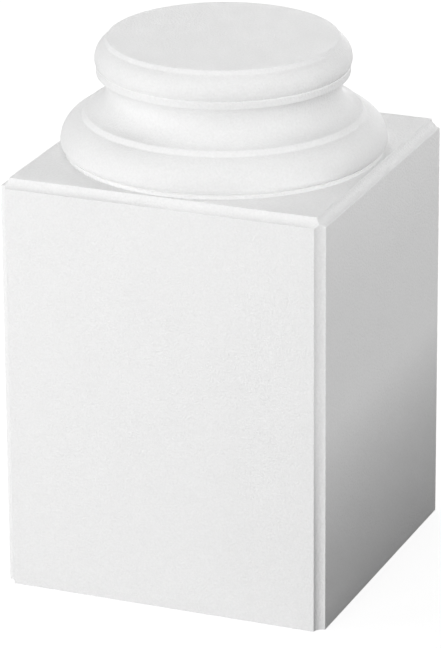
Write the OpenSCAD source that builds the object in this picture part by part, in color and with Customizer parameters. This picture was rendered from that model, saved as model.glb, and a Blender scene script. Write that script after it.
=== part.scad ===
// Column base: a square pedestal block with hollow coves along its edges,
// and a round Attic base standing on it that takes the foot of a column shaft.
// Frame: +Z is up and the origin is the centre of the block's flat underside.

/* [Seat] */
// Diameter of the flat seat that the column shaft stands on
seat_d = 222.5; // [160:0.5:320]
// Height of the seat's rim, the fillet under its edge
seat_rim_h = 4.5; // [3:0.5:10]
// How far the rim widens from the seat down to the upper torus
seat_rim_flare = 2.25; // [1:0.25:4]

/* [Upper torus and band] */
// Height of the upper torus
upper_torus_h = 23.5; // [18:0.5:34]
// Height of the upper torus's widest line above its foot
upper_belly_h = 7; // [4:0.5:9]
// How far the upper torus stands out past the seat's rim
upper_torus_out = 10.25; // [5:0.25:13]
// How far the upper torus tucks back in at its foot
upper_torus_tuck = 2.75; // [1:0.25:5]
// Height of the plain band under the upper torus
upper_band_h = 7.5; // [4:0.5:14]
// How far the plain band stands out past the torus's foot
upper_band_out = 1.25; // [0.5:0.25:4]

/* [Scotia] */
// Height of the scotia, the hollow between the two bands
scotia_h = 36; // [28:0.5:50]
// Depth of the flat soffit under the plain band, where the hollow starts
scotia_soffit = 1.75; // [0.5:0.25:4]

/* [Lower torus and band] */
// Height of the flared band under the scotia
lower_band_h = 5.5; // [3:0.5:12]
// How far the flared band's top edge stands out past the plain band
lower_band_out = 11.5; // [6:0.25:20]
// How far the flared band widens down to the lower torus
lower_band_flare = 2.75; // [1:0.25:5]
// Height of the lower torus
lower_torus_h = 32; // [26:0.5:44]
// Height of the lower torus's widest line above its foot
lower_belly_h = 7; // [5:0.5:9]
// How far the lower torus stands out past the flared band
lower_torus_out = 21; // [10:0.5:26]
// How far the lower torus tucks back in at its foot
lower_torus_tuck = 6; // [4:0.5:8]

/* [Foot] */
// Height of the thin disc that the round base stands on
foot_h = 4; // [2:0.5:8]
// How far the foot's edge lies inside the lower torus's widest line
foot_inset = 4; // [2:0.5:6]

/* [Pedestal block] */
// Height of the block
block_h = 416; // [200:1:800]
// How far the block's faces stand out past the lower torus
block_margin = 7.5; // [5:0.5:40]
// Radius of the hollow coves along the block's edges
cove_r = 8.5; // [4:0.5:11]

/* [Hidden] */
$fn = 96;

// Radii of the round base, from the seat down
seat_r = seat_d / 2;
seat_rim_r = seat_r + seat_rim_flare;
upper_torus_r = seat_rim_r + upper_torus_out;
upper_band_r = upper_torus_r - upper_torus_tuck + upper_band_out;
lower_band_top_r = upper_band_r + lower_band_out;
lower_band_r = lower_band_top_r + lower_band_flare;
lower_torus_r = lower_band_r + lower_torus_out;
foot_r = lower_torus_r - foot_inset;

// Heights of the round base above the block, from the foot up
lower_torus_z = foot_h;
lower_band_z = lower_torus_z + lower_torus_h;
scotia_z = lower_band_z + lower_band_h;
upper_band_z = scotia_z + scotia_h;
upper_torus_z = upper_band_z + upper_band_h;
seat_rim_z = upper_torus_z + upper_torus_h;

// The block is square on plan and takes its width from the round base
block_w = 2 * (lower_torus_r + block_margin);

// How far a torus and the flared band above it run into each other in section
lap = 0.5;
// How far a cutter runs past the faces that it opens
clear = 1;

// Radius, to a micrometre, of an arc that starts upright, then rises and draws in so far
function arc_radius(rise, in) = round((rise * rise + in * in) / (2 * in) * 1000) / 1000;

// Half of a torus in section, from its widest line up: a filled core and the arc round it
module belly_section(widest_r, arc_r, height, over) {
    square([widest_r - arc_r, height]);
    intersection() {
        translate([widest_r - arc_r, 0]) circle(r = arc_r);
        square([widest_r, height + over]);
    }
}

// One torus in section: two arcs that share an upright tangent at its widest line
module torus_section(z, height, belly_h, widest_r, out, tuck) {
    top_h = height - belly_h;
    translate([0, z + belly_h]) {
        belly_section(widest_r, arc_radius(top_h, out), top_h, lap);
        mirror([0, 1]) belly_section(widest_r, arc_radius(belly_h, tuck), belly_h, 0);
    }
}

// A flared band in section, its slope carried down into the torus that it stands on
module flared_band_section(z, height, foot_r, top_r) {
    lap_r = foot_r + lap * (foot_r - top_r) / height;
    polygon([[0, z - lap], [lap_r, z - lap], [top_r, z + height], [0, z + height]]);
}

// The scotia in section: one arc, level at the flared band and cut off by the soffit
module scotia_section() {
    depth = lower_band_top_r - upper_band_r + scotia_soffit;
    hollow_r = arc_radius(depth, scotia_h);
    difference() {
        square([lower_band_top_r, scotia_h]);
        translate([lower_band_top_r, hollow_r]) circle(r = hollow_r);
    }
}

// The whole section of the round base, from its axis outwards
module round_base_section() {
    square([foot_r, foot_h]);
    torus_section(lower_torus_z, lower_torus_h, lower_belly_h,
                  lower_torus_r, lower_torus_out, lower_torus_tuck);
    flared_band_section(lower_band_z, lower_band_h, lower_band_r, lower_band_top_r);
    translate([0, scotia_z]) scotia_section();
    translate([0, upper_band_z]) square([upper_band_r, upper_band_h]);
    torus_section(upper_torus_z, upper_torus_h, upper_belly_h,
                  upper_torus_r, upper_torus_out, upper_torus_tuck);
    flared_band_section(seat_rim_z, seat_rim_h, seat_rim_r, seat_r);
}

// The round Attic base, turned about the column's axis, with its foot on the block
module round_base() {
    color("whitesmoke")
        translate([0, 0, block_h])
            rotate_extrude()
                round_base_section();
}

// A cutter for the cove along one upright edge, down through the block's underside
module upright_cove() {
    translate([block_w / 2, block_w / 2, -clear])
        cylinder(r = cove_r, h = block_h + 2 * clear);
}

// A cutter for the cove along one top edge
module top_cove() {
    translate([block_w / 2, 0, block_h])
        rotate([90, 0, 0])
            cylinder(r = cove_r, h = block_w + 2 * clear, center = true);
}

// The square block, with hollow coves along its upright edges and its top edges
module pedestal_block() {
    color("white")
        difference() {
            translate([-block_w / 2, -block_w / 2, 0])
                cube([block_w, block_w, block_h]);
            for (quarter = [0:3])
                rotate([0, 0, 90 * quarter]) {
                    upright_cove();
                    top_cove();
                }
        }
}

pedestal_block();
round_base();
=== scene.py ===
"""A column base: a round Attic base standing on a square, coved pedestal block, moulded white."""

import math

import bmesh
import bpy
from mathutils import Matrix, Vector


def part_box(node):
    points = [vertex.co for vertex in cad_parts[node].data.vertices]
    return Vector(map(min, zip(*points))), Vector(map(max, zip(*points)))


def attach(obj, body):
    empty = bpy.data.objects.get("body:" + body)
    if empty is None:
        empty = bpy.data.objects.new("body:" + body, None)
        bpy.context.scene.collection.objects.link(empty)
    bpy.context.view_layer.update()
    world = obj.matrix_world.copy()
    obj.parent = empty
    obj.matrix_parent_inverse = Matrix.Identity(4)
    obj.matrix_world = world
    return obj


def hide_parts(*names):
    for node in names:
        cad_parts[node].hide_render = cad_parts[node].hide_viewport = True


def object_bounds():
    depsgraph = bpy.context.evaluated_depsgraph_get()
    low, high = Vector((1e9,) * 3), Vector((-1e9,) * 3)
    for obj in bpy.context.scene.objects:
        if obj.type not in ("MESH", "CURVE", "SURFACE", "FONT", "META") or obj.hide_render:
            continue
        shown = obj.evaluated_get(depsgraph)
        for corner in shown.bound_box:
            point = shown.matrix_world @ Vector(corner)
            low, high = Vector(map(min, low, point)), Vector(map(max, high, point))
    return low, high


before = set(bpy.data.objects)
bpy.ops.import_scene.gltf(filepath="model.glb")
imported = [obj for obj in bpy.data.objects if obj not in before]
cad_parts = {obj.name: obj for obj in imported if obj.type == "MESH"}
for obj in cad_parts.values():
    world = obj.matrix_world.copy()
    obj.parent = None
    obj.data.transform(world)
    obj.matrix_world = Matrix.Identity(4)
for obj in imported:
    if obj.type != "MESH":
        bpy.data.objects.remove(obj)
cad_low, cad_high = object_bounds()
round_low, round_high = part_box("round_base")
block_low, block_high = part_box("pedestal_block")

MM = 0.001

# ---- Section of the round base, in millimetres, from the foot up ----

# BELLY_H is the height of a torus's widest line above its foot, and TUCK is how far its foot lies
# inside that line. OUT is how far a moulding stands out past the one above it, and FLARE is how
# far a sloping band draws in over its height.
LOWER_TORUS_R = (round_high.x - round_low.x) / 2 / MM
FOOT_H = 4
FOOT_INSET = 4
LOWER_TORUS_H = 32
LOWER_BELLY_H = 7
LOWER_TORUS_TUCK = 6
LOWER_TORUS_OUT = 21
LOWER_BAND_H = 5.5
LOWER_BAND_FLARE = 2.75
LOWER_BAND_OUT = 11.5
SCOTIA_H = 36
SCOTIA_SOFFIT = 1.75
UPPER_BAND_H = 7.5
UPPER_BAND_OUT = 1.25
UPPER_TORUS_H = 23.5
UPPER_BELLY_H = 7
UPPER_TORUS_TUCK = 2.75
UPPER_TORUS_OUT = 10.25
SEAT_RIM_H = 4.5
SEAT_RIM_FLARE = 2.25

# How far a corner is cut back before it is rounded: moulded arrises, and creases filled by paint
ARRIS = 1.1
CREASE = 1.2
FOOT_CREASE = 1.8
UNDERSIDE_ARRIS = 0.2

# Fineness of the section and of the turning; ARC_STEP is a length along an arc
TURN_STEPS = 288
ARC_STEP = 1.4
ARC_STEPS_MIN = 6
CORNER_STEPS = 4
DISC_STEPS = 6
BAND_STEPS = 3
FOOT_STEPS = 2

# A point nearer to the axis than this is on it
ON_AXIS = 1e-6

# ---- The pedestal block, in millimetres ----

COVE_R = 8.5
COVE_STEPS = 12
FACE_STEPS = 12
FACE_ROWS = 16

# Points of neighbouring sheets that are nearer than this are joined
WELD = 0.01

# Edges of over SHARP_ANGLE degrees are rounded by BLOCK_ARRIS. A face smaller than a square of
# SMALL_FACE such widths, as where arrises meet, is shaded as round.
BLOCK_ARRIS = 0.6
BLOCK_ARRIS_STEPS = 3
SHARP_ANGLE = 40
SMALL_FACE = 3

# How far in from an arris its wear and painted highlight fade out, on the block and on the seat,
# in millimetres
WEAR_AND_HIGHLIGHT_W = 2.5

# ---- The finish: a white primer over moulded foam ----

WHITE = 0.88
SPECULAR = 0.35
ROUGHNESS = (0.55, 0.72)

# How much the tone varies, as a share of it, in broad clouds and from one speck to the next
MOTTLE = 0.007
SPECKLE = 0.026

# Scale and detail of each noise, and the part of its range that is spread out and used
MOTTLE_NOISE = (18, 5)
TOOTH_NOISE = (480, 3)
ROUGHNESS_NOISE = (60, 3)
NOISE_RANGE = (0.3, 0.7)

# The depth of the tooth, in millimetres
TOOTH_DEPTH = 0.75

# Handling wears the arrises smoother, and they are a little whiter, partly from wear and partly as
# a painted highlight, from the first pointiness to the second
BURNISH = 0.75
WEAR_AND_HIGHLIGHT_TONE = 0.012
WEAR_AND_HIGHLIGHT_POINTINESS = (0.52, 0.6)

# ---- The camera and the studio, in metres and degrees ----

# Azimuth 0 is in front of the object, and 90 at its right
VIEW_AZIMUTH = 22.25
VIEW_ELEVATION = 20.8
VIEW_ROLL = -0.37
VIEW_DISTANCE = 4.445
VIEW_CLIP = 100

# The focal length, in millimetres
VIEW_LENS = 253.2

# How far the camera aims to the right of the object's centre and above it
VIEW_AIM_RIGHT = -0.0045
VIEW_AIM_UP = -0.0285

LAMP_DISTANCE = 3.2
LAMP_WIDTH = 1.6
LAMPS = (
    # name, azimuth, elevation, light on a face turned to it
    ("key", -6, 10, 0.565),
    ("left", -60, 38, 0.20),
    ("back_left", -140, 40, 0.17),
    ("back", 192, 10, 0.18),
    ("top", 0, 88, 0.11),
    ("right", 100, 25, 0.475),
)
AMBIENT = 0.2

# A black card at the right darkens that side towards its foot: its gap, height, length and tone
FLAG_GAP = 0.35
FLAG_H = 0.285
FLAG_L = 1.6
FLAG_TONE = 0.02

# FLOOR_TONE is what lights the object from below. What the camera sees is a glow with a share of
# FLOOR_SHADOW of a lit floor in it, which is white in the open and keeps a faint shadow.
FLOOR_R = 14
FLOOR_STEPS = 128
FLOOR_TONE = 0.6
FLOOR_GLOW = 1.24
FLOOR_SHADOW = 0.3
FLOOR_LIT_TONE = 0.9


# ---- Sections: lists of points, as a radius and a height ----


def line(start, end, steps=1):
    """Points from start to end, both included."""
    return [
        (start[0] + (end[0] - start[0]) * i / steps, start[1] + (end[1] - start[1]) * i / steps)
        for i in range(steps + 1)
    ]


def sweep(centre, radius, a, b):
    """Points on a circle from the angle a to the angle b."""
    steps = max(ARC_STEPS_MIN, round(abs(b - a) * radius / ARC_STEP))
    return [
        (
            centre[0] + radius * math.cos(a + (b - a) * i / steps),
            centre[1] + radius * math.sin(a + (b - a) * i / steps),
        )
        for i in range(steps + 1)
    ]


def arc(centre, radius, start, end):
    """Points on an arc between two points that both lie on the outer side of its centre."""
    a = math.atan2(start[1] - centre[1], start[0] - centre[0])
    b = math.atan2(end[1] - centre[1], end[0] - centre[0])
    return sweep(centre, radius, a, b)


def arc_radius(rise, draw):
    """Radius of an arc that starts upright, then rises and draws in so far."""
    return (rise * rise + draw * draw) / (2 * draw)


def torus_runs(foot, height, belly_h, tuck, out):
    """The two arcs of a torus from its foot up, and the point where it ends."""
    widest = (foot[0] + tuck, foot[1] + belly_h)
    top = (widest[0] - out, foot[1] + height)
    low_r = arc_radius(belly_h, tuck)
    high_r = arc_radius(height - belly_h, out)
    low = arc((widest[0] - low_r, widest[1]), low_r, foot, widest)
    high = arc((widest[0] - high_r, widest[1]), high_r, widest, top)
    return low + high[1:], top


def scotia_run(foot, top):
    """The hollow: an arc that starts level at the foot and sweeps round inwards to the top."""
    radius = arc_radius(foot[0] - top[0], top[1] - foot[1])
    centre = (foot[0], foot[1] + radius)
    end = math.atan2(top[1] - centre[1], top[0] - centre[0])
    return sweep(centre, radius, 1.5 * math.pi, end % (2 * math.pi))


def cut_back(points, length):
    """The points with so much length taken off the start of the run."""
    rest = length
    for i in range(len(points) - 1):
        a, b = points[i], points[i + 1]
        step = math.dist(a, b)
        if step > rest:
            share = rest / step
            start = (a[0] + (b[0] - a[0]) * share, a[1] + (b[1] - a[1]) * share)
            return [start] + points[i + 1 :]
        rest -= step
    return points[-1:]


def round_corner(start, tip, end):
    """A short curve from start to end that leans on the corner's tip."""
    points = []
    for i in range(CORNER_STEPS + 1):
        t = i / CORNER_STEPS
        weights = ((1 - t) ** 2, 2 * t * (1 - t), t * t)
        points.append(
            tuple(sum(w * p[k] for w, p in zip(weights, (start, tip, end))) for k in (0, 1))
        )
    return points


def soften(first, rest):
    """Joins runs that meet end to end, each with how far the corner before it is cut back."""
    path = first
    for corner, run in rest:
        before = cut_back(path[::-1], corner)[::-1]
        after = cut_back(run, corner)
        path = before + round_corner(before[-1], run[0], after[0])[1:-1] + after
    return path


def round_base_section():
    """The section from the axis out along the underside, up the mouldings and in to the axis."""
    foot_edge = (LOWER_TORUS_R - FOOT_INSET, 0)
    foot_top = (foot_edge[0], FOOT_H)
    torus_foot = (LOWER_TORUS_R - LOWER_TORUS_TUCK, FOOT_H)
    lower_torus, band_foot = torus_runs(
        torus_foot, LOWER_TORUS_H, LOWER_BELLY_H, LOWER_TORUS_TUCK, LOWER_TORUS_OUT
    )
    band_top = (band_foot[0] - LOWER_BAND_FLARE, band_foot[1] + LOWER_BAND_H)
    upper_band_r = band_top[0] - LOWER_BAND_OUT
    scotia_top = (upper_band_r - SCOTIA_SOFFIT, band_top[1] + SCOTIA_H)
    upper_band_foot = (upper_band_r, scotia_top[1])
    upper_band_top = (upper_band_r, scotia_top[1] + UPPER_BAND_H)
    upper_foot = (upper_band_r - UPPER_BAND_OUT, upper_band_top[1])
    upper_torus, rim_foot = torus_runs(
        upper_foot, UPPER_TORUS_H, UPPER_BELLY_H, UPPER_TORUS_TUCK, UPPER_TORUS_OUT
    )
    seat = (rim_foot[0] - SEAT_RIM_FLARE, rim_foot[1] + SEAT_RIM_H)
    seat_edge = (seat[0] - WEAR_AND_HIGHLIGHT_W, seat[1])
    seat_run = line(seat, seat_edge) + line(seat_edge, (0, seat[1]), DISC_STEPS)[1:]
    mouldings = [
        (UNDERSIDE_ARRIS, line(foot_edge, foot_top, FOOT_STEPS)),
        (ARRIS, line(foot_top, torus_foot)),
        (FOOT_CREASE, lower_torus),
        (CREASE, line(band_foot, band_top, BAND_STEPS)),
        (ARRIS, scotia_run(band_top, scotia_top)),
        (CREASE, line(scotia_top, upper_band_foot)),
        (ARRIS, line(upper_band_foot, upper_band_top, BAND_STEPS)),
        (CREASE, line(upper_band_top, upper_foot)),
        (CREASE, upper_torus),
        (CREASE, line(rim_foot, seat, BAND_STEPS)),
        (ARRIS, seat_run),
    ]
    return soften(line((0, 0), foot_edge, DISC_STEPS), mouldings)


# ---- Meshes ----


def new_object(name, data):
    """An object of the data, linked to the scene."""
    thing = bpy.data.objects.new(name, data)
    bpy.context.scene.collection.objects.link(thing)
    return thing


def new_piece(name, bm, material):
    """A mesh object of the finished bmesh, with its material."""
    mesh = bpy.data.meshes.new(name)
    bm.to_mesh(mesh)
    bm.free()
    mesh.materials.append(material)
    return new_object(name, mesh)


def turned_ring(bm, radius, z):
    """The points round one height; on the axis they are one point, repeated."""
    if radius < ON_AXIS * MM:
        return [bm.verts.new((0, 0, z))] * TURN_STEPS
    ring = []
    for j in range(TURN_STEPS):
        a = 2 * math.pi * j / TURN_STEPS
        ring.append(bm.verts.new((radius * math.cos(a), radius * math.sin(a), z)))
    return ring


def turned(section, base_z):
    """A bmesh of the section turned about the upright axis, its first and last points on it."""
    bm = bmesh.new()
    rings = [turned_ring(bm, radius * MM, base_z + height * MM) for radius, height in section]
    for low, high in zip(rings, rings[1:]):
        for j in range(TURN_STEPS):
            k = (j + 1) % TURN_STEPS
            corners = []
            for v in (low[j], low[k], high[k], high[j]):
                if v not in corners:
                    corners.append(v)
            bm.faces.new(corners).smooth = True
    return bm


def edged_steps(low, high, steps):
    """Even steps from low to high, and one more close to each end, where the wear and painted
    highlight on the arris fade out.
    """
    band = WEAR_AND_HIGHLIGHT_W * MM
    inside = [low + (high - low) * i / steps for i in range(1, steps)]
    return [low, low + band] + inside + [high - band, high]


def add_sheet(bm, rows, smooth):
    """Faces between rows of points."""
    grid = [[bm.verts.new(point) for point in row] for row in rows]
    for low, high in zip(grid, grid[1:]):
        for a, b, c, d in zip(low, low[1:], high[1:], high):
            bm.faces.new((a, b, c, d)).smooth = smooth


def block_front(half, height, cove, across):
    """Rows of points on the front face, on the cove above it, and on the cove at its right."""
    up = edged_steps(0, height - cove, FACE_ROWS)
    face = [[(x, -half, z) for x in across] for z in up]
    top_cove = []
    right_cove = []
    for i in range(COVE_STEPS + 1):
        t = math.pi / 2 * i / COVE_STEPS
        side = cove * math.cos(t)
        depth = cove * math.sin(t)
        mitre = max(side, depth)
        xs = [mitre - half] + across[1:-1] + [half - mitre]
        zs = up[:-1] + [height - mitre]
        top_cove.append([(x, depth - half, height - side) for x in xs])
        right_cove.append([(half - side, depth - half, z) for z in zs])
    return face, top_cove, right_cove


def coved_block(half, height, cove):
    """A bmesh of a square block with quarter-round coves along its upright and its top edges."""
    bm = bmesh.new()
    across = edged_steps(cove - half, half - cove, FACE_STEPS)
    face, top_cove, right_cove = block_front(half, height, cove, across)
    foot = face[0][:-1] + [column[0] for column in right_cove[:-1]]
    underside = []
    for quarter in range(4):
        spin = Matrix.Rotation(math.pi / 2 * quarter, 3, "Z")
        for rows, smooth in ((face, False), (top_cove, True), (right_cove, True)):
            add_sheet(bm, [[spin @ Vector(point) for point in row] for row in rows], smooth)
        underside += [spin @ Vector(point) for point in foot]
    add_sheet(bm, [[(x, y, height) for x in across] for y in across], False)
    bm.faces.new([bm.verts.new(point) for point in underside])
    bmesh.ops.remove_doubles(bm, verts=bm.verts, dist=WELD * MM)
    bmesh.ops.recalc_face_normals(bm, faces=bm.faces)
    return bm


def soften_arrises(bm, width):
    """Rounds every sharp edge of the mesh by the width, and shades its small faces as round."""
    sharp = [e for e in bm.edges if e.calc_face_angle(0) > math.radians(SHARP_ANGLE)]
    bmesh.ops.bevel(
        bm,
        geom=sharp,
        offset=width,
        offset_type="OFFSET",
        segments=BLOCK_ARRIS_STEPS,
        profile=0.5,
        affect="EDGES",
    )
    for face in bm.faces:
        face.smooth = face.calc_area() < (SMALL_FACE * width) ** 2 or face.smooth
    return bm


# ---- Material nodes ----


def grey(tone):
    """An opaque colour of one tone."""
    return (tone, tone, tone, 1)


def noise(tree, place, scale, detail):
    """A noise that varies over the place."""
    node = tree.nodes.new("ShaderNodeTexNoise")
    node.inputs["Scale"].default_value = scale
    node.inputs["Detail"].default_value = detail
    tree.links.new(place, node.inputs["Vector"])
    return node.outputs["Fac"]


def spread(tree, value, span, low, high):
    """The value with its span stretched over low to high, and held there beyond it."""
    node = tree.nodes.new("ShaderNodeMapRange")
    node.inputs["From Min"].default_value = span[0]
    node.inputs["From Max"].default_value = span[1]
    node.inputs["To Min"].default_value = low
    node.inputs["To Max"].default_value = high
    tree.links.new(value, node.inputs["Value"])
    return node.outputs["Result"]


def combined(tree, operation, first, second):
    """Two values made into one by a Math node."""
    node = tree.nodes.new("ShaderNodeMath")
    node.operation = operation
    tree.links.new(first, node.inputs[0])
    tree.links.new(second, node.inputs[1])
    return node.outputs["Value"]


def diffuse(tree, tone):
    """A plain matte shader of one tone."""
    node = tree.nodes.new("ShaderNodeBsdfDiffuse")
    node.inputs["Color"].default_value = grey(tone)
    return node.outputs["BSDF"]


def shader_mix(tree, first, second):
    """A mix of two shaders, whose first input is the share of the second."""
    node = tree.nodes.new("ShaderNodeMixShader")
    tree.links.new(first, node.inputs[1])
    tree.links.new(second, node.inputs[2])
    return node


def seen_rays(tree):
    """1 on rays that the camera sees, straight or in a reflection, and 0 on the rest."""
    path = tree.nodes.new("ShaderNodeLightPath")
    seen = path.outputs["Is Camera Ray"]
    for kind in ("Is Glossy Ray", "Is Transmission Ray"):
        seen = combined(tree, "MAXIMUM", seen, path.outputs[kind])
    return seen


# ---- Materials ----


def new_material(name):
    """A material with nodes, which start as one Principled shader."""
    material = bpy.data.materials.new(name)
    material.use_nodes = True
    return material


def primed_foam():
    """White primer on moulded foam: matte, faintly mottled, with a fine tooth and worn arrises
    that are also painted a little whiter as a highlight.
    """
    material = new_material("primed_foam")
    tree = material.node_tree
    shader = tree.nodes["Principled BSDF"]
    shader.inputs["Specular IOR Level"].default_value = SPECULAR
    place = tree.nodes.new("ShaderNodeTexCoord").outputs["Object"]
    edge = tree.nodes.new("ShaderNodeNewGeometry").outputs["Pointiness"]
    clouds = noise(tree, place, *MOTTLE_NOISE)
    grain = noise(tree, place, *TOOTH_NOISE)
    patches = noise(tree, place, *ROUGHNESS_NOISE)

    mottle = combined(
        tree,
        "MULTIPLY",
        spread(tree, clouds, NOISE_RANGE, 1 - MOTTLE, 1 + MOTTLE),
        spread(tree, grain, NOISE_RANGE, 1 - SPECKLE, 1 + SPECKLE),
    )
    # The arrises are a little whiter: partly wear, partly a painted highlight
    worn_highlit_white = spread(tree, edge, WEAR_AND_HIGHLIGHT_POINTINESS, WHITE, WHITE + WEAR_AND_HIGHLIGHT_TONE)
    tone = combined(tree, "MULTIPLY", mottle, worn_highlit_white)
    colour = tree.nodes.new("ShaderNodeCombineColor")
    for channel in ("Red", "Green", "Blue"):
        tree.links.new(tone, colour.inputs[channel])
    tree.links.new(colour.outputs["Color"], shader.inputs["Base Color"])

    matte = spread(tree, patches, NOISE_RANGE, *ROUGHNESS)
    burnish = spread(tree, edge, WEAR_AND_HIGHLIGHT_POINTINESS, 1, BURNISH)
    roughness = combined(tree, "MULTIPLY", matte, burnish)
    tree.links.new(roughness, shader.inputs["Roughness"])

    tooth = tree.nodes.new("ShaderNodeBump")
    tooth.inputs["Distance"].default_value = TOOTH_DEPTH * MM
    tooth.inputs["Strength"].default_value = 1
    tree.links.new(grain, tooth.inputs["Height"])
    tree.links.new(tooth.outputs["Normal"], shader.inputs["Normal"])
    return material


def black_card():
    """Dull black card."""
    material = new_material("black_card")
    shader = material.node_tree.nodes["Principled BSDF"]
    shader.inputs["Base Color"].default_value = grey(FLAG_TONE)
    shader.inputs["Specular IOR Level"].default_value = 0
    return material


def floor_material():
    """Pale floor that shows as white, with the object's shadow kept faint on it."""
    material = new_material("floor")
    tree = material.node_tree
    tree.nodes.remove(tree.nodes["Principled BSDF"])
    glow = tree.nodes.new("ShaderNodeEmission")
    glow.inputs["Strength"].default_value = FLOOR_GLOW
    shown = shader_mix(tree, glow.outputs["Emission"], diffuse(tree, FLOOR_LIT_TONE))
    shown.inputs[0].default_value = FLOOR_SHADOW
    either = shader_mix(tree, diffuse(tree, FLOOR_TONE), shown.outputs["Shader"])
    tree.links.new(seen_rays(tree), either.inputs[0])
    tree.links.new(either.outputs["Shader"], tree.nodes["Material Output"].inputs["Surface"])
    return material


# ---- The studio ----


def direction(azimuth, elevation):
    """Unit vector from the object towards a lamp or the camera."""
    a = math.radians(azimuth)
    e = math.radians(elevation)
    return Vector((math.sin(a) * math.cos(e), -math.cos(a) * math.cos(e), math.sin(e)))


def add_camera():
    """The camera: a long lens from the right of the front and above, with no shift."""
    data = bpy.data.cameras.new("camera")
    data.lens = VIEW_LENS
    data.clip_end = VIEW_CLIP
    camera = new_object("camera", data)
    back = direction(VIEW_AZIMUTH, VIEW_ELEVATION)
    turn_to = (-back).to_track_quat("-Z", "Y").to_matrix()
    right = turn_to @ Vector((1, 0, 0))
    up = turn_to @ Vector((0, 1, 0))
    aim = (cad_low + cad_high) / 2 + right * VIEW_AIM_RIGHT + up * VIEW_AIM_UP
    roll = Matrix.Rotation(math.radians(VIEW_ROLL), 3, "Z")
    place = Matrix.Translation(aim + back * VIEW_DISTANCE)
    camera.matrix_world = place @ (turn_to @ roll).to_4x4()
    bpy.context.scene.camera = camera


def add_lamp(name, azimuth, elevation, light):
    """A square soft lamp; light 1 would show a white face that is turned to it as white."""
    data = bpy.data.lights.new(name, "AREA")
    data.shape = "SQUARE"
    data.size = LAMP_WIDTH
    data.energy = light * (math.pi * LAMP_DISTANCE) ** 2
    lamp = new_object(name, data)
    towards = direction(azimuth, elevation)
    lamp.location = (cad_low + cad_high) / 2 + towards * LAMP_DISTANCE
    lamp.rotation_euler = towards.to_track_quat("Z", "Y").to_euler()


def add_flag():
    """The black card, which stands on the floor and isn't seen."""
    bm = bmesh.new()
    x = cad_high.x + FLAG_GAP
    corners = ((-1, 0), (1, 0), (1, 1), (-1, 1))
    bm.faces.new([bm.verts.new((x, FLAG_L / 2 * side, FLAG_H * up)) for side, up in corners])
    flag = new_piece("flag", bm, black_card())
    flag.visible_camera = False


def add_world():
    """An even ambient light, which shows as white where it is seen."""
    world = bpy.data.worlds.new("studio")
    bpy.context.scene.world = world
    world.use_nodes = True
    tree = world.node_tree
    background = tree.nodes["Background"]
    background.inputs["Color"].default_value = grey(1)
    strength = spread(tree, seen_rays(tree), (0, 1), AMBIENT, 1)
    tree.links.new(strength, background.inputs["Strength"])


def add_floor():
    """A round floor under the object."""
    bm = bmesh.new()
    bmesh.ops.create_circle(bm, cap_ends=True, segments=FLOOR_STEPS, radius=FLOOR_R)
    floor = new_piece("floor", bm, floor_material())
    floor.location.z = cad_low.z


# ---- Making ----


def make_pieces():
    """The turned base and the coved block, each in place of its CAD node, in one finish."""
    finish = primed_foam()
    base = new_piece("turned_base", turned(round_base_section(), block_high.z), finish)
    half = (block_high.x - block_low.x) / 2
    block_mesh = coved_block(half, block_high.z, COVE_R * MM)
    block = new_piece("coved_block", soften_arrises(block_mesh, BLOCK_ARRIS * MM), finish)
    for piece, node in ((base, "round_base"), (block, "pedestal_block")):
        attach(piece, "root")
        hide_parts(node)


make_pieces()
add_floor()
add_world()
for lamp_row in LAMPS:
    add_lamp(*lamp_row)
add_flag()
add_camera()
bpy.context.scene.view_settings.view_transform = "Standard"
